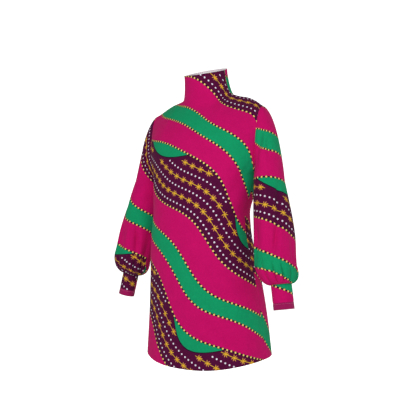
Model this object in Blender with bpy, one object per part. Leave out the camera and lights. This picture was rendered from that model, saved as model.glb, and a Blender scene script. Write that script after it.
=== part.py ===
"""Short A-line dress with a high funnel neck and full lantern sleeves.

The dress is filled out as if worn, with nobody in it. The origin is the middle of the neck's base,
between the shoulders that carry it. +Z is up and the front faces -Y. Sizes are in millimetres and
become metres when a mesh is made.

Every piece is a cloth wall. Its outer face is worked out from the tables of sections below, and its
inner face lies one wall thickness inside. Pieces that are sewn together share the points of their
seam, and each is trimmed back a little so that they stay apart.
"""
import math

import bpy
import numpy as np

MM = 0.001
WALL = 1.6
SEAM_GAP = 0.3

# Body sections from hem to neck, as if the trunk went on up inside the shoulders.
# height, half width, depth in front, depth behind, where the side seam lies from front to back
BODY_SECTIONS = (
    (-850, 211, 162, 162, 13),
    (-708, 198, 152, 152, 6),
    (-581, 184, 143, 142, -8),
    (-486, 171, 133, 130, -26),
    (-420, 163, 127, 122, -32),
    (-370, 160, 124, 118, -31),
    (-320, 169, 130, 114, -20),
    (-285, 175, 135, 114, -9),
    (-250, 180, 137, 114, 0),
    (-150, 200, 128, 115, 7),
    (-60, 211, 98, 107, 12),
    (40, 211, 63, 79, 15),
)
SECTION_SQUARENESS = 2.25

# Hem height at the side seams, and how much lower it hangs in front and behind
HEM_HEIGHT = -816
HEM_FRONT_DROP = 25
HEM_BACK_DROP = 4

# Armhole: from the underarm up the front, over the shoulder tip and down the back
UNDERARM_HEIGHT = -250
SHOULDER_TIP = (199, 12, -43)
ARMHOLE_FRONT_REACH = 42
ARMHOLE_BACK_REACH = 50
ARMHOLE_ROUNDNESS = 0.72
# height, distance from the middle of the body
ARMHOLE_WIDTHS = ((-250, 180), (-232, 189), (-190, 194), (-150, 196), (-90, 198), (-43, 199))

# Shoulder seam from the neck to the tip
SHOULDER_LINE = ((84, 15, 7), (112, 18, -2), (141, 19, -9), (170, 17, -22), (199, 12, -43))
# Ridge of the trunk across the shoulders: distance from the middle, height
SHOULDER_RIDGE = ((0, 44), (45, 25), (84, 7), (112, -2), (141, -9), (170, -22), (199, -43), (227, -65))
SHOULDER_ROLL_HEIGHT = 150
SHOULDER_ROLL_SQUARENESS = 2.3

# Foot of the neck: forward and up at centre front, and at centre back
NECK_FOOT_FRONT = (-68, -40)
NECK_FOOT_BACK = (76, 12)
# Neck sections: half width, half depth, middle from front to back, height
NECK_NARROW = (75, 63, 2, 22)
NECK_TOP = (72, 63, -6, 79.5)
NECK_TILT_FRONT = 0.30
NECK_TILT_BACK = 0.36

# Sleeve sections down the arm: height, outwards, front to back, half across, half fore and aft
SLEEVE_SECTIONS = (
    (-276, 228, -4, 45, 56),
    (-340, 240, -14, 53, 60),
    (-400, 251, -22, 59, 63),
    (-456, 260, -30, 62, 65),
    (-524, 270, -45, 61, 63),
)
SLEEVE_FALL = 56
CUFF_TOP = (284, -37, -579)
CUFF_END = (297, -45, -650)
CUFF_BAND_LENGTH = 20
# Cuff section: half of its long and its short diameter, and the long one's turn behind outwards
CUFF_HALF_LONG = 31.4
CUFF_HALF_SHORT = 26.6
CUFF_TURN = math.radians(45)

# The gathers at the sleeve's end, from the body's side round to the front: share of the round, depth
GATHERS = (
    (1.05, 3.4),
    (0.85, 4.4),
    (1.10, 3.6),
    (0.90, 4.8),
    (0.80, 3.8),
    (1.15, 4.6),
    (1.00, 3.2),
    (1.20, 4.4),
    (0.85, 3.6),
    (1.05, 4.8),
    (1.15, 3.4),
    (0.90, 4.2),
)
POINTS_PER_GATHER = 4
# How far above the cuff a gather reaches, and where it is deepest
GATHER_REACH = 62
GATHER_OUT = 0.4
GATHER_DEEPEST = 16

# Soft folds of the sleeve: degrees round from the body's side, height, half width in degrees,
# half length, drift in degrees for each 100 mm down, depth
SLEEVE_FOLDS = (
    (136, -390, 13, 120, 4, 4.0),
    (29, -480, 15, 75, -6, 3.6),
    (66, -430, 14, 90, 3, 2.6),
    (104, -500, 12, 60, -5, 2.4),
    (172, -455, 14, 90, 5, 2.8),
    (214, -400, 15, 110, -4, 3.6),
    (262, -470, 14, 80, 5, 3.0),
    (318, -430, 15, 90, -3, 2.6),
    (112, -165, 13, 55, 12, 2.6),
    (60, -190, 14, 50, -14, 2.6),
    (236, -180, 15, 60, 10, 2.4),
)

# Soft folds of the body: side (-1 front, 1 back), degrees round from its middle, height,
# half width in degrees, half length, drift in degrees for each 100 mm down, depth
BODY_FOLDS = (
    (-1, 62, -300, 11, 60, -22, 3.6),
    (-1, -62, -300, 11, 60, 22, 3.0),
    (-1, 44, -700, 13, 150, 4, 3.6),
    (-1, -36, -690, 12, 150, -4, 3.0),
    (-1, 6, -730, 11, 110, 2, 2.2),
    (1, 55, -310, 12, 70, -20, 3.0),
    (1, -58, -310, 12, 70, 20, 3.2),
    (1, 24, -680, 13, 160, 3, 3.4),
    (1, -30, -700, 13, 150, -3, 3.6),
)

# Fineness of the solids
BODY_COLUMNS = 24
NECK_COLUMNS = 10
SKIRT_ROWS = 13
ARMHOLE_ROWS = 12
NECK_ROWS = 5
SLEEVE_CAP_ROWS = 6
SLEEVE_ARM_ROWS = 5
SLEEVE_FALL_ROWS = 6
CUFF_ROWS = 2

# Colours and surface: red, green, blue (linear), roughness
LOOKS = {
    "front": (0.56, 0.008, 0.13, 0.72),
    "back": (0.52, 0.008, 0.12, 0.72),
    "sleeve": (0.03, 0.33, 0.13, 0.72),
    "cuff": (0.48, 0.008, 0.11, 0.72),
    "cuff_band": (0.30, 0.010, 0.09, 0.75),
}


def smooth_between(pairs, at):
    """Read a smooth curve through (place, value) pairs that never swings past its points."""
    table = np.array(sorted((float(pair[0]), float(pair[1])) for pair in pairs))
    places, values = table[:, 0], table[:, 1]
    steps = np.diff(places)
    rises = np.diff(values) / steps
    slopes = np.zeros_like(values)
    slopes[0], slopes[-1] = rises[0], rises[-1]
    for i in range(1, len(places) - 1):
        if rises[i - 1] * rises[i] > 0:
            before = 2 * steps[i] + steps[i - 1]
            after = steps[i] + 2 * steps[i - 1]
            slopes[i] = (before + after) / (before / rises[i - 1] + after / rises[i])
    at = np.clip(np.asarray(at, float), places[0], places[-1])
    k = np.clip(np.searchsorted(places, at) - 1, 0, len(steps) - 1)
    t = (at - places[k]) / steps[k]
    start = (2 * t**3 - 3 * t**2 + 1) * values[k] + (t**3 - 2 * t**2 + t) * steps[k] * slopes[k]
    end = (3 * t**2 - 2 * t**3) * values[k + 1] + (t**3 - t**2) * steps[k] * slopes[k + 1]
    return start + end


def unit(vector):
    return vector / np.linalg.norm(vector, axis=-1, keepdims=True)


def even_steps(points, count):
    """Points that cut the smooth curve through the given ones into equal lengths."""
    points = np.asarray(points, float)
    reach = np.concatenate([[0], np.cumsum(np.linalg.norm(np.diff(points, axis=0), axis=1))])
    fine = np.linspace(0, reach[-1], 200)
    curve = np.stack([smooth_between(list(zip(reach, points[:, k])), fine) for k in range(3)], -1)
    walked = np.concatenate([[0], np.cumsum(np.linalg.norm(np.diff(curve, axis=0), axis=1))])
    goals = np.linspace(0, walked[-1], count + 1)
    return np.stack([np.interp(goals, walked, curve[:, k]) for k in range(3)], -1)


def body_size(column, height):
    return smooth_between([(row[0], row[column]) for row in BODY_SECTIONS], height)


def body_point(height, angle, side):
    """Place on the trunk at a height and an angle from its middle, in front or behind."""
    half_width, front, back, middle = (body_size(k, height) for k in (1, 2, 3, 4))
    power = 2 / SECTION_SQUARENESS
    x = half_width * np.sign(angle) * np.abs(np.sin(angle)) ** power
    depth = back if side > 0 else front
    y = middle + side * depth * np.abs(np.cos(angle)) ** power
    return x, y


def armhole_point(side, share):
    """Place on the armhole's edge, from the underarm (0) to the shoulder tip (1)."""
    turn = math.pi * share
    up = (1 - math.cos(turn)) / 2
    z = UNDERARM_HEIGHT + (SHOULDER_TIP[2] - UNDERARM_HEIGHT) * up
    under_y = float(body_size(4, UNDERARM_HEIGHT))
    reach = ARMHOLE_BACK_REACH if side > 0 else ARMHOLE_FRONT_REACH
    bow = max(0.0, math.sin(turn)) ** ARMHOLE_ROUNDNESS
    y = under_y + (SHOULDER_TIP[1] - under_y) * up + side * reach * bow
    x = float(smooth_between(ARMHOLE_WIDTHS, z))
    return np.array([x, y, z])


def neck_foot(angle, side):
    """Place on the foot of the neck, at an angle from the middle of the front or the back."""
    side_x, side_y, side_z = SHOULDER_LINE[0]
    end_y, end_z = NECK_FOOT_BACK if side > 0 else NECK_FOOT_FRONT
    inward = math.cos(angle)
    y = side_y + (end_y - side_y) * inward**0.95
    z = side_z + (end_z - side_z) * inward**1.3
    return np.array([side_x * math.sin(angle), y, z])


def neck_ring(size, angle, side, tilt):
    half_width, half_depth, middle, height = size
    y = middle + side * half_depth * math.cos(angle)
    return np.array([half_width * math.sin(angle), y, height + tilt * (y - middle)])


def neck_rise(foot, narrow, top, share):
    """Curve from the foot of the neck, drawn in to its narrow part, to its top."""
    first = foot + (narrow - foot) * 0.75
    second = narrow + (top - narrow) * 0.45
    left = 1 - share
    bend = 3 * share * left**2 * first + 3 * share**2 * left * second
    return left**3 * foot + bend + share**3 * top


def fold_depth(folds, angle, height):
    """How far soft folds draw the cloth in at an angle in degrees and a height."""
    total = np.zeros(np.broadcast(angle, height).shape)
    for centre, middle, half_width, half_length, drift, depth in folds:
        line = centre + drift * (middle - height) / 100
        off = (angle - line + 180) % 360 - 180
        total += depth * np.exp(-((off / half_width) ** 2) - ((height - middle) / half_length) ** 2)
    return total


def panel_top():
    """Top edge of a body panel: shoulder, foot of the neck and shoulder, as signs and places."""
    shoulder_columns = (BODY_COLUMNS - NECK_COLUMNS) // 2
    return shoulder_columns, even_steps(SHOULDER_LINE, shoulder_columns)


def body_panel(side):
    """Points of the front (-1) or back (1): rows from hem to shoulder, and rows up the neck."""
    shoulder_columns, shoulder = panel_top()
    across = np.linspace(-1, 1, BODY_COLUMNS + 1)
    rows = []
    for i in range(SKIRT_ROWS + 1):
        angle = across * math.pi / 2
        drop = HEM_BACK_DROP if side > 0 else HEM_FRONT_DROP
        hem = HEM_HEIGHT - drop * np.cos(angle) ** 2
        z = hem + (UNDERARM_HEIGHT - hem) * i / SKIRT_ROWS
        x, y = body_point(z, angle, side)
        rows.append(np.stack([x, y, z], -1))

    top = np.zeros((BODY_COLUMNS + 1, 3))
    for j in range(BODY_COLUMNS + 1):
        from_middle = j - BODY_COLUMNS // 2
        beyond_neck = abs(from_middle) - NECK_COLUMNS // 2
        if beyond_neck >= 0:
            top[j] = shoulder[beyond_neck] * (np.sign(from_middle), 1, 1)
        else:
            top[j] = neck_foot(from_middle / NECK_COLUMNS * math.pi, side)

    upper = []
    for i in range(1, ARMHOLE_ROWS + 1):
        share = i / ARMHOLE_ROWS
        edge = armhole_point(side, share)
        edge_share = (1 - math.cos(math.pi * share)) / 2
        weight = across**2
        z = UNDERARM_HEIGHT + (top[:, 2] - UNDERARM_HEIGHT) * (weight * edge_share + (1 - weight) * share)
        reach = min(1.0, edge[0] / float(body_size(1, edge[2]))) ** (SECTION_SQUARENESS / 2)
        x, y = body_point(z, across * math.asin(reach), side)
        ridge_y = smooth_between([(p[0], p[1]) for p in SHOULDER_LINE], np.abs(x))
        below = (smooth_between(SHOULDER_RIDGE, np.abs(x)) - z) / SHOULDER_ROLL_HEIGHT
        left = 1 - np.clip(below, 0, 1)
        roll = (1 - left**SHOULDER_ROLL_SQUARENESS) ** (1 / SHOULDER_ROLL_SQUARENESS)
        row = np.stack([x, ridge_y + (y - ridge_y) * roll, z], -1)
        for end, sign in ((0, -1), (BODY_COLUMNS, 1)):
            miss = edge * (sign, 1, 1) - row[end]
            row = row + (np.clip(sign * across, 0, 1) ** 5)[:, None] * miss
        upper.append(row)
    miss = top - upper[-1]
    for i in range(ARMHOLE_ROWS):
        upper[i] = upper[i] + miss * ((i + 1) / ARMHOLE_ROWS) ** 3

    foot = upper[-1][shoulder_columns:BODY_COLUMNS + 1 - shoulder_columns]
    neck = []
    for i in range(1, NECK_ROWS + 1):
        row = []
        for j in range(NECK_COLUMNS + 1):
            angle = (j / NECK_COLUMNS - 0.5) * math.pi
            tilt = NECK_TILT_BACK if side > 0 else NECK_TILT_FRONT
            narrow = neck_ring(NECK_NARROW, angle, side, tilt)
            end = neck_ring(NECK_TOP, angle, side, tilt)
            row.append(neck_rise(foot[j], narrow, end, i / NECK_ROWS))
        neck.append(row)
    return np.array(rows + upper), np.array(neck)


def grid_faces(index, closed=False):
    """Faces between the rows of a grid of point numbers; the last column may meet the first."""
    faces = []
    rows, columns = index.shape
    for i in range(rows - 1):
        for j in range(columns if closed else columns - 1):
            k = (j + 1) % columns
            faces.append((index[i, j], index[i, k], index[i + 1, k], index[i + 1, j]))
    return faces


def body_piece(side):
    """Outer points and faces of the front or the back, neck included."""
    body, neck = body_panel(side)
    shoulder_columns, _ = panel_top()
    body_index = np.arange(body.shape[0] * body.shape[1]).reshape(body.shape[:2])
    neck_index = body_index.size + np.arange(neck.shape[0] * neck.shape[1]).reshape(neck.shape[:2])
    foot = body_index[-1:, shoulder_columns:BODY_COLUMNS + 1 - shoulder_columns]
    faces = grid_faces(body_index) + grid_faces(np.vstack([foot, neck_index]))
    points = np.vstack([body.reshape(-1, 3), neck.reshape(-1, 3)])
    if side > 0:
        faces = [face[::-1] for face in faces]

    folds = [fold[1:] for fold in BODY_FOLDS if fold[0] == side]
    across = np.zeros(len(points))
    across[:body_index.size] = np.tile(np.linspace(-90, 90, BODY_COLUMNS + 1), body.shape[0])
    fade = np.clip(1 - (np.abs(across) / 90) ** 6, 0, 1)
    fade[body_index.size:] = 0
    fade[body_index[-3:].ravel()] = 0
    depth = fold_depth(folds, across, points[:, 2]) * fade
    normals = point_normals(points, faces)
    return points - normals * depth[:, None], faces


def arm_axes(direction):
    """Down the sleeve, outwards across it and forwards across it."""
    down = unit(np.asarray(direction, float))
    outwards = unit(np.array([1.0, 0, 0]) - down * down[0])
    forwards = np.cross(down, outwards)
    if forwards[1] > 0:
        forwards = -forwards
    return down, outwards, forwards


def oval_ring(centre, direction, half_across, half_fore, turn, angles):
    """Ring of a sleeve or cuff. Angle 0 is at the body's side, a quarter turn on is in front."""
    _, outwards, forwards = arm_axes(direction)
    across = np.cos(angles - turn)
    fore = np.sin(angles - turn)
    radius = half_across * half_fore / np.sqrt((half_fore * across) ** 2 + (half_across * fore) ** 2)
    side = np.outer(-np.cos(angles) * radius, outwards)
    return centre + side + np.outer(np.sin(angles) * radius, forwards)


def gather_angles():
    """Angles of the sleeve's points, spread so that each gather has its own four."""
    widths = np.array([row[0] for row in GATHERS])
    ends = np.concatenate([[0], np.cumsum(widths)]) / widths.sum() * 2 * math.pi
    angles = []
    for k in range(len(GATHERS)):
        angles += list(np.linspace(ends[k], ends[k + 1], POINTS_PER_GATHER + 1)[:-1])
    return np.array(angles)


def gather_wave():
    """Outwards swing of each of the sleeve's points where the gathers are deepest."""
    swing = []
    for k in range(len(GATHERS)):
        for i in range(POINTS_PER_GATHER):
            wave = math.cos(2 * math.pi * i / POINTS_PER_GATHER)
            swing.append(GATHERS[k][1] * (GATHER_OUT * max(wave, 0) + min(wave, 0)))
    return np.array(swing)


def gather_strength(above_cuff):
    """Share of a gather's depth at a height above the cuff."""
    table = ((0, 0.0), (GATHER_DEEPEST, 1.0), (GATHER_REACH, 0.0))
    return float(smooth_between(table, above_cuff))


def armhole_ring():
    """The armhole's points, shared with the panels: underarm, front, tip, back."""
    front = [armhole_point(-1, i / ARMHOLE_ROWS) for i in range(ARMHOLE_ROWS + 1)]
    back = [armhole_point(1, i / ARMHOLE_ROWS) for i in range(ARMHOLE_ROWS - 1, 0, -1)]
    return np.array(front + back)


def sleeve_section(height):
    """Centre, half across and half fore and aft of the sleeve at a height."""
    values = [float(smooth_between([(row[0], row[k]) for row in SLEEVE_SECTIONS], height)) for k in (1, 2, 3, 4)]
    return np.array([values[0], values[1], height]), values[2], values[3]


def sleeve_direction(height):
    step = 10
    above, _, _ = sleeve_section(min(height + step, SLEEVE_SECTIONS[0][0]))
    below, _, _ = sleeve_section(max(height - step, SLEEVE_SECTIONS[-1][0]))
    return unit(below - above)


def cap_rings(start, end, direction, angles):
    """Rings that fan from the armhole over the shoulder to the first ring round the arm."""
    up = ((1 - np.cos(angles)) / 2)[:, None]
    sway = np.sin(angles)[:, None]
    leave = (1 - up) * (0.15, 0, -1) + up * (1, -0.15, -0.85) + sway * (0.35, -0.22, 0)
    leave = unit(leave)
    span = np.linalg.norm(end - start, axis=1)[:, None]
    rings = []
    for i in range(1, SLEEVE_CAP_ROWS + 1):
        t = i / SLEEVE_CAP_ROWS
        places = (2 * t**3 - 3 * t**2 + 1) * start + (3 * t**2 - 2 * t**3) * end
        pulls = (t**3 - 2 * t**2 + t) * leave * span * 0.7 + (t**3 - t**2) * direction * span * 0.9
        rings.append(places + pulls)
    return rings


def sleeve_piece():
    """Outer points and faces of the wearer's left sleeve, armhole to cuff."""
    fine_angles = gather_angles()
    coarse_angles = fine_angles[::2]
    start = armhole_ring()
    top_height = SLEEVE_SECTIONS[0][0]
    end_height = SLEEVE_SECTIONS[-1][0]
    centre, across, fore = sleeve_section(top_height)
    direction = sleeve_direction(top_height)
    first = oval_ring(centre, direction, across, fore, 0, coarse_angles)
    coarse = [start] + cap_rings(start, first, direction, coarse_angles)

    fine = []
    for i in range(1, SLEEVE_ARM_ROWS + 1):
        height = top_height + (end_height - top_height) * i / SLEEVE_ARM_ROWS
        centre, across, fore = sleeve_section(height)
        fine.append(oval_ring(centre, sleeve_direction(height), across, fore, 0, fine_angles))

    cuff_top = np.array(CUFF_TOP, float)
    cuff_down = unit(np.array(CUFF_END, float) - cuff_top)
    arm_down = sleeve_direction(end_height)
    wave = gather_wave()
    for i in range(1, SLEEVE_FALL_ROWS + 1):
        t = i / SLEEVE_FALL_ROWS
        closing = math.sqrt(1 - t**2.1)
        middle = centre + (cuff_top - centre) * t
        down = unit(arm_down * (1 - t) + cuff_down * t)
        wide = oval_ring(middle, down, across, fore, 0, fine_angles)
        narrow = oval_ring(middle, down, CUFF_HALF_LONG, CUFF_HALF_SHORT, CUFF_TURN, fine_angles)
        ring = narrow + (wide - narrow) * closing
        strength = gather_strength(SLEEVE_FALL * (1 - t))
        ring = ring + unit(ring - middle) * (wave * strength)[:, None]
        fine.append(ring)
    fine[SLEEVE_ARM_ROWS - 1] = fine[SLEEVE_ARM_ROWS - 1] + unit(fine[SLEEVE_ARM_ROWS - 1] - centre) * (
        wave * gather_strength(SLEEVE_FALL))[:, None]

    coarse, fine = np.array(coarse), np.array(fine)
    coarse_index = np.arange(coarse.shape[0] * coarse.shape[1]).reshape(coarse.shape[:2])
    fine_index = coarse_index.size + np.arange(fine.shape[0] * fine.shape[1]).reshape(fine.shape[:2])
    faces = grid_faces(coarse_index, True) + grid_faces(fine_index, True)
    upper, lower = coarse_index[-1], fine_index[0]
    for j in range(len(upper)):
        k = (j + 1) % len(upper)
        near, middle, far = lower[2 * j], lower[2 * j + 1], lower[(2 * j + 2) % len(lower)]
        faces += [(upper[j], middle, near), (upper[j], upper[k], middle), (upper[k], far, middle)]
    faces = [face[::-1] for face in faces]
    points = np.vstack([coarse.reshape(-1, 3), fine.reshape(-1, 3)])

    angles = np.concatenate([np.tile(coarse_angles, len(coarse)), np.tile(fine_angles, len(fine))])
    depth = fold_depth(SLEEVE_FOLDS, np.degrees(angles), points[:, 2])
    depth[coarse_index[0]] = 0
    depth[coarse_index[1]] *= 0.5
    depth[fine_index[-1]] = 0
    depth[fine_index[-2]] *= 0.3
    points = points - point_normals(points, faces) * depth[:, None]
    return points, faces


def cuff_piece(start_share, end_share, rows, angles):
    """Outer points and faces of a straight stretch of the cuff."""
    top, end = np.array(CUFF_TOP, float), np.array(CUFF_END, float)
    rings = []
    for i in range(rows + 1):
        share = start_share + (end_share - start_share) * i / rows
        rings.append(oval_ring(top + (end - top) * share, end - top, CUFF_HALF_LONG, CUFF_HALF_SHORT,
                               CUFF_TURN, angles))
    rings = np.array(rings)
    index = np.arange(rings.shape[0] * rings.shape[1]).reshape(rings.shape[:2])
    return rings.reshape(-1, 3), [face[::-1] for face in grid_faces(index, True)]


def point_normals(points, faces):
    """Outward direction at each point, from the faces round it."""
    normals = np.zeros_like(points)
    for face in faces:
        corners = points[list(face)]
        if len(face) == 4:
            area = np.cross(corners[2] - corners[0], corners[3] - corners[1])
        else:
            area = np.cross(corners[1] - corners[0], corners[2] - corners[0])
        normals[list(face)] += area
    length = np.linalg.norm(normals, axis=1, keepdims=True)
    return normals / np.maximum(length, 1e-9)


def border_edges(faces):
    """Directed edges that only one face uses, each with that face."""
    users = {}
    for face in faces:
        for a, b in zip(face, face[1:] + face[:1]):
            users[(a, b)] = face
    return [(a, b, face) for (a, b), face in users.items() if (b, a) not in users]


def trim_directions(points, faces):
    """Way into the cloth at each border point, so that a step of one trims every edge by one."""
    found = {}
    for a, b, face in border_edges(faces):
        along = unit(points[b] - points[a])
        into = points[list(face)].mean(0) - (points[a] + points[b]) / 2
        into = unit(into - along * into.dot(along))
        found.setdefault(a, []).append(into)
        found.setdefault(b, []).append(into)
    trims = np.zeros_like(points)
    for number, ways in found.items():
        total = sum(ways)
        trims[number] = total / max(0.5, 1 + ways[0].dot(ways[-1])) if len(ways) > 1 else total
    return trims


def place_key(point):
    return tuple(int(round(value * 1000)) for value in point)


def shared_inward(pieces):
    """Step to the inner face at each point. Pieces that meet at a seam agree on it there."""
    normals = {name: point_normals(points, faces) for name, (points, faces) in pieces.items()}
    meeting = {}
    for name, (points, faces) in pieces.items():
        for number in {n for a, b, _ in border_edges(faces) for n in (a, b)}:
            meeting.setdefault(place_key(points[number]), []).append(normals[name][number])
    inward = {}
    for name, (points, faces) in pieces.items():
        steps = -WALL * normals[name]
        for number in {n for a, b, _ in border_edges(faces) for n in (a, b)}:
            group = meeting[place_key(points[number])]
            if len(group) < 2:
                continue
            mean = sum(group) / len(group)
            size = np.linalg.norm(mean)
            agree = np.clip((size - 0.45) / 0.25, 0, 1)
            mitre = -WALL * mean / max(size, 0.5) ** 2
            steps[number] = agree * mitre + (1 - agree) * steps[number]
        inward[name] = steps
    return inward


def mirrored(piece):
    points, faces = piece
    return points * (-1, 1, 1), [face[::-1] for face in faces]


def make_wall(name, points, faces, inward, look):
    """Closed solid of one cloth piece: outer face, inner face and the cut edges between them."""
    trim = trim_directions(points, faces) * SEAM_GAP / 2
    outer = points + trim
    inner = outer + inward
    count = len(points)
    solid = [face for face in faces]
    solid += [tuple(n + count for n in face[::-1]) for face in faces]
    for a, b, _ in border_edges(faces):
        if place_key(points[a]) < place_key(points[b]):
            solid += [(b, a, b + count), (a, a + count, b + count)]
        else:
            solid += [(b, a, a + count), (b, a + count, b + count)]
    mesh = bpy.data.meshes.new(name)
    corners = np.vstack([outer, inner]) * MM
    mesh.from_pydata([tuple(map(float, corner)) for corner in corners], [],
                     [tuple(map(int, face)) for face in solid])
    mesh.validate()
    mesh.shade_smooth()
    mesh.set_sharp_from_angle(angle=math.radians(50))
    mesh.materials.append(cloth_material(look))
    piece = bpy.data.objects.new(name, mesh)
    bpy.context.scene.collection.objects.link(piece)
    return piece


def cloth_material(look):
    """Plain smooth knit in the piece's main colour."""
    material = bpy.data.materials.get(look)
    if material is None:
        red, green, blue, roughness = LOOKS[look]
        material = bpy.data.materials.new(look)
        material.use_nodes = True
        shader = material.node_tree.nodes["Principled BSDF"]
        shader.inputs["Base Color"].default_value = (red, green, blue, 1)
        shader.inputs["Roughness"].default_value = roughness
        shader.inputs["Metallic"].default_value = 0
    return material


def build():
    for old in list(bpy.data.objects):
        bpy.data.objects.remove(old)
    angles = gather_angles()
    length = float(np.linalg.norm(np.subtract(CUFF_END, CUFF_TOP)))
    band_start = 1 - CUFF_BAND_LENGTH / length
    pieces = {"front": body_piece(-1), "back": body_piece(1)}
    left = {
        "sleeve": sleeve_piece(),
        "cuff": cuff_piece(0, band_start, CUFF_ROWS, angles),
        "cuff_band": cuff_piece(band_start, 1, 1, angles),
    }
    for part, piece in left.items():
        pieces[part + "_left"] = piece
        pieces[part + "_right"] = mirrored(piece)
    inward = shared_inward(pieces)
    for name, (points, faces) in pieces.items():
        look = name.replace("_left", "").replace("_right", "")
        make_wall(name, points, faces, inward[name], look)


build()
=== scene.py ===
# %% [markdown]
# # A printed knit dress with lantern sleeves
#
# The real dress is cut from a smooth printed knit: a front and a back with the high neck cut in one,
# two full sleeves gathered into long close cuffs, and a narrow binding on each cuff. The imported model
# holds each cut piece as a plain solid. This script puts the finished cloth in its place.

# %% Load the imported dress
import math

import bpy
import numpy as np
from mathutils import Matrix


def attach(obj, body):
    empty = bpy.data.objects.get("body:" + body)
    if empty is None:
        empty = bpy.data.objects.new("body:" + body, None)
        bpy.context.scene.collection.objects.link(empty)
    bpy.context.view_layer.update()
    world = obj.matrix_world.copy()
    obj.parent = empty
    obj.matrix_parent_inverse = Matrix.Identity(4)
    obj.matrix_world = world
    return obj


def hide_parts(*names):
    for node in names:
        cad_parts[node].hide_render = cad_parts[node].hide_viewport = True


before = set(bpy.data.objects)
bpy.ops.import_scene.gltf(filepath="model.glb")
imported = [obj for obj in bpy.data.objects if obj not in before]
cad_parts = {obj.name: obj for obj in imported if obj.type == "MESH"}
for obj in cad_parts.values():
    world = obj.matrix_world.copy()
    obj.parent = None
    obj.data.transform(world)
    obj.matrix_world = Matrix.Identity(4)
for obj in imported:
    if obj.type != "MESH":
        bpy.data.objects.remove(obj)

MM = 0.001
bpy.ops.object.select_all(action="DESELECT")
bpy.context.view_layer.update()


# %% Objects and node trees
def add_object(name, data):
    """A new object in the scene."""
    thing = bpy.data.objects.new(name, data)
    bpy.context.scene.collection.objects.link(thing)
    return thing


def add_mesh(name, points, faces, *materials):
    """A new mesh object in the scene, from points in metres."""
    mesh = bpy.data.meshes.new(name)
    mesh.from_pydata(points, [], faces)
    for material in materials:
        mesh.materials.append(material)
    return add_object(name, mesh)


def feed(tree, node, inputs):
    """Fill a node's inputs: a socket is linked, anything else is set as a value."""
    for label, thing in inputs.items():
        if isinstance(thing, bpy.types.NodeSocket):
            tree.links.new(thing, node.inputs[label])
        else:
            node.inputs[label].default_value = thing
    return node


def add_node(tree, kind, inputs):
    return feed(tree, tree.nodes.new("ShaderNode" + kind), inputs)


def add_material(name, inputs):
    """A material with these inputs on its Principled shader. Returns it, its tree and the shader."""
    material = bpy.data.materials.new(name)
    material.use_nodes = True
    tree = material.node_tree
    return material, tree, feed(tree, tree.nodes["Principled BSDF"], inputs)


def bump_material(tree, shader, height, strength, distance):
    """Give a material's shader a bump from a height socket."""
    bump = add_node(tree, "Bump", {"Strength": strength, "Distance": distance, "Height": height})
    feed(tree, shader, {"Normal": bump.outputs["Normal"]})


# %% [markdown]
# ## Camera
#
# The photo was taken level, from the wearer's front left. The camera's height is the one at which the
# hem and the top of the neck both curve as in the photo: the hem is seen from above and the neck from
# below. The distance and lens come from how much smaller the far sleeve looks than the near one.

# %% Place the camera
FRAME_PX = 416
FOCAL_PX = 631
AXIS_PX = 206.7
SENSOR_MM = 36
CAMERA_TURN = math.radians(33)
CAMERA_DISTANCE = 2.03
CAMERA_HEIGHT = -0.355

camera_lens = bpy.data.cameras.new("camera")
camera_lens.sensor_width = SENSOR_MM
camera_lens.lens = SENSOR_MM * FOCAL_PX / FRAME_PX
camera_lens.shift_x = (FRAME_PX / 2 - AXIS_PX) / FRAME_PX
camera = add_object("camera", camera_lens)
camera.location = (math.sin(CAMERA_TURN) * CAMERA_DISTANCE, -math.cos(CAMERA_TURN) * CAMERA_DISTANCE,
                   CAMERA_HEIGHT)
camera.rotation_euler = (math.radians(90), 0, CAMERA_TURN)
bpy.context.scene.camera = camera
print("lens:", round(camera_lens.lens, 1), "mm")

# %% [markdown]
# ## Studio
#
# The photo is lit softly from the camera's side, so the cloth is brightest where it faces the camera
# and darker where it turns away. A large soft lamp by the camera and weak ones at the sides and behind
# give that. The floor is one pale sheet that curves up all round, so no horizon shows from any side.

# %% Lamps
LAMPS = (
    # name, turn from the front in degrees, height, distance, size in metres, watts
    ("key", 24, 0.7, 2.6, 0.9, 37),
    ("back_left", 205, 0.6, 2.8, 1.8, 26),
    ("back_right", 130, 0.6, 2.8, 1.8, 10),
)
WORLD_LIGHT = 0.22


def add_lamp(name, turn, height, distance, size, watts):
    """A square soft lamp aimed at the middle of the dress."""
    lamp_data = bpy.data.lights.new(name, "AREA")
    lamp_data.size = size
    lamp_data.energy = watts
    lamp = add_object(name, lamp_data)
    angle = math.radians(turn)
    lamp.location = (math.sin(angle) * distance, -math.cos(angle) * distance, height)
    drop = math.atan2(height - CAMERA_HEIGHT, distance)
    lamp.rotation_euler = (math.radians(90) - drop, 0, angle)


for lamp_row in LAMPS:
    add_lamp(*lamp_row)

world = bpy.data.worlds.new("studio")
bpy.context.scene.world = world
world.use_nodes = True
feed(world.node_tree, world.node_tree.nodes["Background"],
     {"Color": (1, 1, 1, 1), "Strength": WORLD_LIGHT})
bpy.context.scene.view_settings.view_transform = "Standard"
print("lamps:", len(LAMPS))

# %% Pale floor that curves up all round
# distance from the middle, height, in metres
FLOOR_PROFILE = ((0.0, -1.35), (3.6, -1.35), (4.8, -1.25), (5.7, -0.85), (6.3, 0.0), (6.5, 1.2), (6.5, 3.2))
FLOOR_SIDES = 64
FLOOR_GLOW_SEEN = 1.0
FLOOR_GLOW_GIVEN = 0.12


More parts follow.
